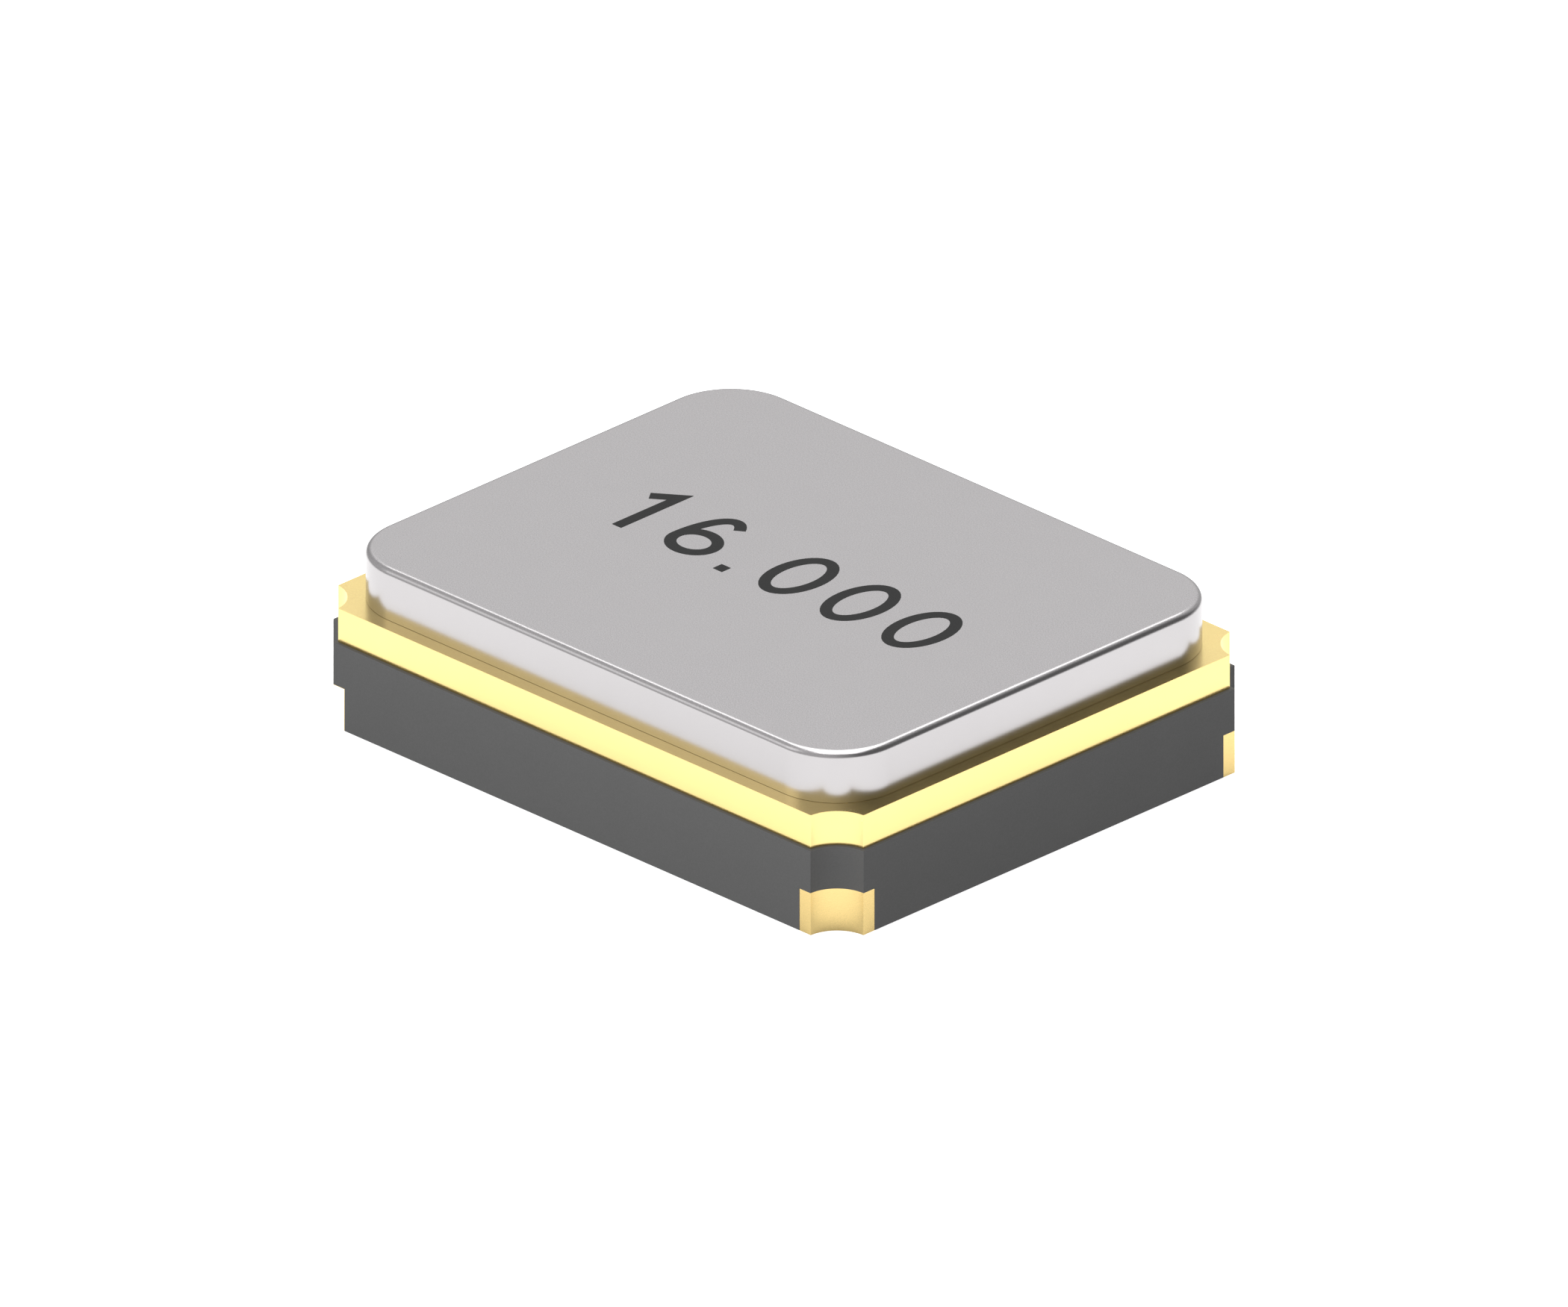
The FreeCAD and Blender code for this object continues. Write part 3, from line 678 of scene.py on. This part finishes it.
def metal_column(inner):
    """The column about its body corner, from its inner radius out to the recess's wall.

    An inner radius wider than the notch leaves only a lining, which bends in under the upper layer.
    """
    radii = [inner, recess_radius, recess_radius, inner]
    levels = [0, 0, layer_level, layer_level]
    if inner > notch_radius + TINY:
        bend_level = layer_level - (recess_radius - inner)
        radii = [inner, recess_radius, recess_radius, notch_radius, notch_radius, inner]
        levels = [0, 0, layer_level, layer_level, bend_level, bend_level]
    return quarter_sweep(np.array(radii), np.array(levels))


print(f"metal ends {SWEEP_SHY} degrees inside the ceramic's faces")

# %% Solder pads
METAL_EDGE = 1 * MICRON


def pad_outline(near, far, corner, bite):
    """Solder pad about its body corner: a rounded rectangle with a circle about that corner taken off.

    Lengths run inwards from the body corner. Three arcs round the pad's free corners, and the last is the
    circle's, between the pad's two outer sides.
    """
    start = math.degrees(math.asin(near / bite))
    arcs = [
        arc(complex(far[0] - corner, near + corner), corner, -90, 0, ARC),
        arc(complex(far[0] - corner, far[1] - corner), corner, 0, 90, ARC),
        arc(complex(near + corner, far[1] - corner), corner, 90, 180, ARC),
        arc(0, bite, 90 - start, start, ARC, hollow=True),
    ]
    return tuple(np.concatenate(pair) for pair in zip(*arcs))


def solder_pad(foot, near, height):
    """The pad about its body corner, between the near distance and the furthest points of the foot."""
    far = foot.max(axis=0)
    corner = far[0] - foot[foot[:, 1] > far[1] - TINY, 0].max()
    plan = pad_outline(near, far, corner, recess_radius)
    return shell(carry(plan, *plate_section(0, height, METAL_EDGE, METAL_EDGE)))


def to_corner(shape, signs):
    """Moves a shape made about the origin to a body corner, mirrored so that it lies on the body's side.

    A mirror across one axis alone turns the faces inside out, so their order is turned back.
    """
    points, faces = shape
    placed = points * (-signs[0], -signs[1], 1) + (signs[0] * body_half[0], signs[1] * body_half[1], 0)
    if signs[0] * signs[1] < 0:
        faces = [face[::-1] for face in faces]
    return placed, faces


print(f"pad edges: {METAL_EDGE / MICRON:.1f} micron")

# %% Terminals
CORNER_SIGNS = {1: (-1, -1), 2: (1, -1), 3: (1, 1), 4: (-1, 1)}

for number, signs in CORNER_SIGNS.items():
    node = f"terminal_{number}"
    metal = points_of(node)
    from_corner = body_half - metal[:, :2] * signs
    foot = from_corner[metal[:, 2] < TINY]
    inner = np.hypot(*foot.T).min()
    pad_height = metal[metal[:, 2] > TINY, 2].min()
    near = from_corner[np.abs(metal[:, 2] - pad_height) < TINY].min()
    shapes = [metal_column(inner), solder_pad(foot, near, pad_height)]
    shells = [to_corner(shape, signs) for shape in shapes]
    piece(f"castellation_{number}", shells, pad_gold, [node])
    print(f"  pad {(foot.max(axis=0) - near) / MM} mm, metal {(recess_radius - inner) / MM:.4f} mm thick")

# %% [markdown]
# ## Inside the cavity
# The sealed parts are finished as well, so that the unit can be opened or cut. Two dots of silver adhesive
# stand on plated pads and hold the quartz blank at one end. A dot is a bulging section turned about its own
# axis. The pads and the blank are plates like the lid. The electrode films and the buried conductors are
# flat strips and plain cylinders, so their CAD nodes stay and only get a finish.

# %% Plates and dots
BLANK_EDGE = 2 * MICRON
DOT_STEPS = 12
DOT_COLUMNS = 64


def plate_of(node, edge):
    """A plate in the place of a node, with the node's corner radius and both of its edges rounded.

    A square corner gets a radius just over the edge's, so that the outline can be carried round the edge.
    """
    low, high = (np.array(corner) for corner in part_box(node))
    centre = (low + high) / 2
    half = (high - low)[:2] / 2
    radius = max(corner_radius(points_of(node)), edge + 2 * STRIP)
    points, normals = rounded_outline(half, radius)
    plan = points + complex(*centre[:2]), normals
    return shell(carry(plan, *plate_section(low[2], high[2], edge, edge)))


def dot_of(node):
    """A dot in the place of a node: a circular arc between two flats, turned about the dot's axis.

    The arc bulges by the difference between the node's widest radius and its radius at the foot. Its own
    radius is half the chord squared plus the bulge squared, over twice the bulge.
    """
    low, high = (np.array(corner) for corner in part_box(node))
    centre = (low + high) / 2
    half_height = centre[2] - low[2]
    mesh_points = points_of(node)
    foot_points = mesh_points[mesh_points[:, 2] < low[2] + TINY]
    foot_radius = np.hypot(*(foot_points[:, :2] - centre[:2]).T).max()
    bulge = (high - low)[0] / 2 - foot_radius
    bend = (half_height ** 2 + bulge ** 2) / (2 * bulge)
    rise = np.linspace(-half_height, half_height, DOT_STEPS)
    radii = foot_radius + bulge - bend + np.sqrt(bend ** 2 - rise ** 2)
    circle = np.exp(2j * math.pi * np.arange(DOT_COLUMNS) / DOT_COLUMNS)
    rings = complex(*centre[:2]) + radii[:, None] * circle
    heights = np.broadcast_to((centre[2] + rise)[:, None], rings.shape)
    return shell(np.stack([rings.real, rings.imag, heights], axis=-1))


print(f"a dot has {DOT_STEPS} rings of {DOT_COLUMNS} points")

# %% Cavity pieces
for letter in "ab":
    pad_node, dot_node = f"mount_pad_{letter}", f"adhesive_dot_{letter}"
    piece(f"plated_pad_{letter}", [plate_of(pad_node, METAL_EDGE)], pad_gold, [pad_node])
    piece(f"cured_dot_{letter}", [dot_of(dot_node)], adhesive, [dot_node])
piece("lapped_blank", [plate_of("quartz_blank", BLANK_EDGE)], quartz, ["quartz_blank"])

KEPT = {
    "upper_electrode": silver_film,
    "lower_electrode": silver_film,
    "feed_conductor_1": fired_tungsten,
    "feed_conductor_3": fired_tungsten,
    "ground_conductor_2": fired_tungsten,
    "ground_conductor_4": fired_tungsten,
}
for node, material in KEPT.items():
    for material_slot in frame["nodes"][node].material_slots:
        material_slot.material = material
    print(f"{node}: finished with {material.name}")

# %% [markdown]
# ## Mark
# A unit like this has its frequency in megahertz marked on the lid, so the plain number 16.000 stands there.
# Text objects could write it, but their outlines follow a font file. Each digit is one or two strokes
# instead: a ribbon of even width along a centreline of straight lines and parts of ellipses. The ink is a
# film under a micron thick on the lid.

# %% Strokes of ink
DIGIT_HEIGHT = 0.32 * MM
DIGIT_WIDTH = 0.21 * MM
DIGIT_STEP = 0.29 * MM
POINT_STEP = 0.14 * MM
STROKE = 0.042 * MM
LAYER = 0.1 * MICRON
ROUND_POINTS = 41
OPEN_POINTS = 21


def ribbon(path, closed=False, under=0):
    """A flat strip of ink along a centreline of complex numbers, as a closed shell on the lid.

    The strip's edge runs across the mean direction of the two pieces of centreline that meet at a point, and
    stands further out in a bend: half the stroke over the cosine of half the turn. A strip may lie a layer
    or more under the top, so that strips that cross do not share a face.
    """
    pieces = np.diff(path, append=path[:1] if closed else path[-1:])
    pieces = pieces if closed else np.append(pieces[:-1], pieces[-2])
    ahead = pieces / np.abs(pieces)
    behind = np.roll(ahead, 1) if closed else np.append(ahead[:1], ahead[:-1])
    mean = (ahead + behind) / np.abs(ahead + behind)
    aside = 1j * mean * STROKE / 2 / (mean * ahead.conj()).real
    edges = [path - aside, path - aside, path + aside, path + aside]
    top = lid_top - under * LAYER
    levels = [top, lid_face, lid_face, top]
    columns = []
    for edge, level in zip(edges, levels):
        columns.append(np.stack([edge.real, edge.imag, np.full(len(edge), level)], axis=-1))
    return shell(np.stack(columns, axis=1), closed=closed)


def ellipse(centre, half_width, half_height, first, last, count=ROUND_POINTS):
    """Points on an ellipse between two angles in degrees."""
    turn = np.radians(np.linspace(first, last, count))
    return centre + half_width * np.cos(turn) + 1j * half_height * np.sin(turn)


print(f"stroke {STROKE / MM:.3f} mm wide, digits {DIGIT_HEIGHT / MM:.2f} mm high")

# %% Digits
# Where strokes lie in a digit, as shares of its width or height. The hook of the six ends at an angle.
STEM_AT = 0.6
FLAG_AT = 0.2
FLAG_FOOT = 0.75
FLAG_TOP = 0.94
BOWL_MIDDLE = 0.3
HOOK_END = 55


def zero(left):
    """An upright ellipse that closes on itself."""
    half_width = (DIGIT_WIDTH - STROKE) / 2
    half_height = (DIGIT_HEIGHT - STROKE) / 2
    centre = complex(left + DIGIT_WIDTH / 2, DIGIT_HEIGHT / 2)
    return [ribbon(ellipse(centre, half_width, half_height, 0, 360)[:-1], closed=True)]


def one(left):
    """A stem with a slanting flag, in one stroke."""
    stem = left + DIGIT_WIDTH * STEM_AT
    flag = complex(left + DIGIT_WIDTH * FLAG_AT, DIGIT_HEIGHT * FLAG_FOOT)
    return [ribbon(np.array([flag, complex(stem, DIGIT_HEIGHT * FLAG_TOP), stem]))]


def six(left):
    """A bowl that closes on itself, and a tall arc that rises from its left side and bends over."""
    half_width = (DIGIT_WIDTH - STROKE) / 2
    bowl_height = DIGIT_HEIGHT * BOWL_MIDDLE - STROKE / 2
    centre = complex(left + DIGIT_WIDTH / 2, DIGIT_HEIGHT * BOWL_MIDDLE)
    tall = DIGIT_HEIGHT - STROKE / 2 - centre.imag
    bowl = ellipse(centre, half_width, bowl_height, 0, 360)[:-1]
    hook = ellipse(centre, half_width, tall, HOOK_END, 180, OPEN_POINTS)
    return [ribbon(bowl, closed=True), ribbon(hook, under=1)]


def point(left):
    """A square dot on the baseline."""
    middle = left + STROKE / 2
    return [ribbon(np.array([middle, complex(middle, STROKE)]))]


DRAW = {"0": (zero, DIGIT_STEP), "1": (one, DIGIT_STEP), "6": (six, DIGIT_STEP), ".": (point, POINT_STEP)}
print("signs that can be drawn:", *DRAW)

# %% Mark
MARK = "16.000"

mark_length = sum(DRAW[sign][1] for sign in MARK) - (DIGIT_STEP - DIGIT_WIDTH)
strokes = []
left = -mark_length / 2
for sign in MARK:
    draw, step = DRAW[sign]
    strokes += draw(left)
    left += step
strokes = [(points - (0, DIGIT_HEIGHT / 2, 0), faces) for points, faces in strokes]
ink = finish("marking ink", (0.036, 0.036, 0.036), 0.04, (0.75, 0.85), 0.03, {"Specular IOR Level": 0.05})
piece("frequency_mark", strokes, ink)
print(f"mark {MARK}, {mark_length / MM:.2f} mm long")

# %% [markdown]
# ## Studio: softbox
# Metal shows what is round it, so the studio has shape. The main light is a long softbox overhead, in line
# with the camera and square to it. The flat lid does not mirror it to the camera, but its rounded edge does,
# as a bright line.

# %% Softbox
SOFTBOX_HEIGHT = 30 * MM
SOFTBOX_WIDTH = 29.4 * MM
SOFTBOX_LENGTH = 49 * MM
SOFTBOX_RIGHT = 1.5 * MM
SOFTBOX_BACK = 2.5 * MM
SOFTBOX_LEVEL = 2.2
RIGHT = Vector((math.cos(VIEW_AZIMUTH), math.sin(VIEW_AZIMUTH), 0))
BACK = Vector((-math.sin(VIEW_AZIMUTH), math.cos(VIEW_AZIMUTH), 0))


def add_softbox():
    """An area light over the part, square to the camera. Its power is pi times its area times its level."""
    lamp = bpy.data.lights.new("softbox", "AREA")
    lamp.shape = "RECTANGLE"
    lamp.size = SOFTBOX_WIDTH
    lamp.size_y = SOFTBOX_LENGTH
    lamp.energy = math.pi * SOFTBOX_WIDTH * SOFTBOX_LENGTH * SOFTBOX_LEVEL
    softbox = bpy.data.objects.new("softbox", lamp)
    softbox.location = RIGHT * SOFTBOX_RIGHT + BACK * SOFTBOX_BACK + Vector((0, 0, SOFTBOX_HEIGHT))
    softbox.rotation_euler = (0, 0, VIEW_AZIMUTH)
    bpy.context.scene.collection.objects.link(softbox)
    return softbox


softbox = add_softbox()
print(f"{softbox.name}: {SOFTBOX_WIDTH / MM:.1f} by {SOFTBOX_LENGTH / MM:.1f} mm")

# %% [markdown]
# ## Studio: floor
# The part stands on a white floor. A plain lit floor would show a wide grey shadow, so half of its white is
# its own light, and the shadow stays soft. What metal mirrors is another matter: there the floor is a bright
# pool under an open sky. Its light falls off towards the part, because the part's walls close off some of
# the sky, and this gives each side its slope from top to foot.

# %% Glow and shade
SHADE_REACH = 3 * MM
SHADE_BLACK = 0.1
SHADE_SAMPLES = 6


def glow(tree, strength):
    """An even emission."""
    shader = tree.nodes.new("ShaderNodeEmission")
    shader.inputs["Strength"].default_value = strength
    return shader.outputs[0]


def add_glow(tree, shader, strength):
    """The shader with an even emission added to it."""
    total = tree.nodes.new("ShaderNodeAddShader")
    tree.links.new(shader, total.inputs[0])
    tree.links.new(glow(tree, strength), total.inputs[1])
    return total.outputs[0]


def blend_shaders(tree, factor, first, second):
    """The first shader where the factor is nought, the second where it is one."""
    mix = tree.nodes.new("ShaderNodeMixShader")
    for socket, source in zip(mix.inputs, (factor, first, second)):
        tree.links.new(source, socket)
    return mix.outputs[0]


def distance_mask(tree, near, far, centre=(0, 0, 0)):
    """Rises from nought at the near distance from the centre to one at the far distance."""
    place = tree.nodes.new("ShaderNodeTexCoord")
    length = tree.nodes.new("ShaderNodeVectorMath")
    length.operation = "DISTANCE"
    length.inputs[1].default_value = centre
    tree.links.new(place.outputs["Object"], length.inputs[0])
    fade = tree.nodes.new("ShaderNodeMapRange")
    fade.interpolation_type = "SMOOTHSTEP"
    fade.inputs["From Min"].default_value = near
    fade.inputs["From Max"].default_value = far
    tree.links.new(length.outputs["Value"], fade.inputs["Value"])
    return fade.outputs["Result"]


def sky_shade(tree, shader):
    """The shader, darkened by the share of the sky that walls within reach close off.

    It is black where the open share is SHADE_BLACK or less, and full under an open sky.
    """
    sky = tree.nodes.new("ShaderNodeAmbientOcclusion")
    sky.samples = SHADE_SAMPLES
    sky.inputs["Distance"].default_value = SHADE_REACH
    fade = tree.nodes.new("ShaderNodeMapRange")
    fade.inputs["From Min"].default_value = SHADE_BLACK
    tree.links.new(sky.outputs["AO"], fade.inputs["Value"])
    return blend_shaders(tree, fade.outputs["Result"], glow(tree, 0), shader)


print(f"walls shade the floor within {SHADE_REACH / MM:.0f} mm")

# %% Floor
FLOOR_SIZE = 300 * MM
FLOOR_DROP = 0.2 * MICRON
# Levels, where 1 is white. The camera sees the floor's own light and its lit colour. Metal mirrors the pool
# and what is beyond its edge. Matt surfaces get the card.
FLOOR_SEEN = 0.5
FLOOR_LIT = 1.1
FLOOR_MIRRORED = 1.63
POOL_EDGE = 0.54
FLOOR_CARD = 0.38
# Distances at which the pool and the partly lit white start to fade and are gone, and the pool's middle.
POOL = (3.2 * MM, 7 * MM)
WHITE_FROM = (8 * MM, 20 * MM)
POOL_FRONT = 2 * MM
POOL_LEFT = 0.3 * MM


def add_floor():
    """A square floor just under the part.

    To the camera and in glass it is a white that is partly lit, and plain white further out. In metal it is
    a brighter pool, shaded by the part, which ends a few millimetres from it. For all other rays it is an
    even card, which lights the part's sides from below.
    """
    mesh = bpy.data.meshes.new("floor")
    half = FLOOR_SIZE / 2
    corners = [(-half, -half), (half, -half), (half, half), (-half, half)]
    mesh.from_pydata([(x, y, -FLOOR_DROP) for x, y in corners], [], [[0, 1, 2, 3]])
    floor = bpy.data.objects.new("floor", mesh)
    bpy.context.scene.collection.objects.link(floor)
    material = bpy.data.materials.new("white floor")
    material.use_nodes = True
    tree = material.node_tree
    tree.nodes.clear()
    lit = tree.nodes.new("ShaderNodeBsdfDiffuse")
    lit.inputs["Color"].default_value = (FLOOR_LIT, FLOOR_LIT, FLOOR_LIT, 1)
    path = tree.nodes.new("ShaderNodeLightPath")
    half_lit = add_glow(tree, lit.outputs[0], FLOOR_SEEN)
    seen = blend_shaders(tree, distance_mask(tree, *WHITE_FROM), half_lit, glow(tree, 1))
    pool = sky_shade(tree, glow(tree, FLOOR_MIRRORED))
    centre = BACK * -POOL_FRONT + RIGHT * -POOL_LEFT
    mirrored = blend_shaders(tree, distance_mask(tree, *POOL, centre), pool, glow(tree, POOL_EDGE))
    straight = tree.nodes.new("ShaderNodeMath")
    straight.operation = "MAXIMUM"
    tree.links.new(path.outputs["Is Camera Ray"], straight.inputs[0])
    tree.links.new(path.outputs["Is Transmission Ray"], straight.inputs[1])
    shown = blend_shaders(tree, path.outputs["Is Glossy Ray"], glow(tree, FLOOR_CARD), mirrored)
    shown = blend_shaders(tree, straight.outputs[0], shown, seen)
    output = tree.nodes.new("ShaderNodeOutputMaterial")
    tree.links.new(shown, output.inputs["Surface"])
    mesh.materials.append(material)
    return floor


floor = add_floor()
print(f"{floor.name}: {FLOOR_SIZE / MM:.0f} mm square, {FLOOR_DROP / MICRON:.1f} microns under the part")

# %% [markdown]
# ## Studio: dome
# Round the floor stands a soft dome. It is dim and even, with four pale patches: a wall and a screen behind
# the part, a pale left side, and a window low on the left. The right side stays dark, so the two faces of the
# part that the camera sees differ in tone. Each patch fades out with the angle from its middle. The Standard
# view shows colours as they are.

# %% Glows of the dome
# Azimuth and elevation of its middle, the angles where it starts to fade and is gone, and how much it adds.
GLOWS = {
    "wall behind": (-26, 33, 28, 57, 0.44),
    "screen behind": (-37, 46, 25, 38, 0.31),
    "pale left side": (-156, 0, 49, 111, 0.49),
    "window on the left": (-147, 27, 5, 20, 0.81),
}


def direction(azimuth, elevation):
    """Unit vector: azimuth 0 looks along +Y, clockwise from above; elevation is above the horizon."""
    turn = math.radians(azimuth)
    rise = math.radians(elevation)
    return (math.sin(turn) * math.cos(rise), math.cos(turn) * math.cos(rise), math.sin(rise))


for name, (azimuth, elevation, full, gone, level) in GLOWS.items():
    print(f"{name}: {level} towards {azimuth}, {elevation}, between {full} and {gone} degrees")

# %% Dome
DOME = 0.16


def add_dome():
    """World: an even level, plus each glow, which fades with the angle from its middle.

    To the camera it is plain white.
    """
    world = bpy.data.worlds.new("dome")
    bpy.context.scene.world = world
    world.use_nodes = True
    tree = world.node_tree
    place = tree.nodes.new("ShaderNodeTexCoord")
    total = None
    for azimuth, elevation, full, gone, level in GLOWS.values():
        dot = tree.nodes.new("ShaderNodeVectorMath")
        dot.operation = "DOT_PRODUCT"
        dot.inputs[1].default_value = direction(azimuth, elevation)
        tree.links.new(place.outputs["Generated"], dot.inputs[0])
        fade = tree.nodes.new("ShaderNodeMapRange")
        fade.interpolation_type = "SMOOTHSTEP"
        fade.inputs["From Min"].default_value = math.cos(math.radians(gone))
        fade.inputs["From Max"].default_value = math.cos(math.radians(full))
        fade.inputs["To Max"].default_value = level
        tree.links.new(dot.outputs["Value"], fade.inputs["Value"])
        add = tree.nodes.new("ShaderNodeMath")
        if total:
            tree.links.new(total, add.inputs[0])
        else:
            add.inputs[0].default_value = DOME
        tree.links.new(fade.outputs["Result"], add.inputs[1])
        total = add.outputs[0]
    path = tree.nodes.new("ShaderNodeLightPath")
    shown = tree.nodes.new("ShaderNodeMix")
    shown.inputs["B"].default_value = 1
    tree.links.new(path.outputs["Is Camera Ray"], shown.inputs["Factor"])
    tree.links.new(total, shown.inputs["A"])
    tree.links.new(shown.outputs["Result"], tree.nodes["Background"].inputs["Strength"])
    tree.nodes["Background"].inputs["Color"].default_value = (1, 1, 1, 1)


add_dome()
print(f"dome level {DOME}, with {len(GLOWS)} glows")
bpy.context.scene.view_settings.view_transform = "Standard"
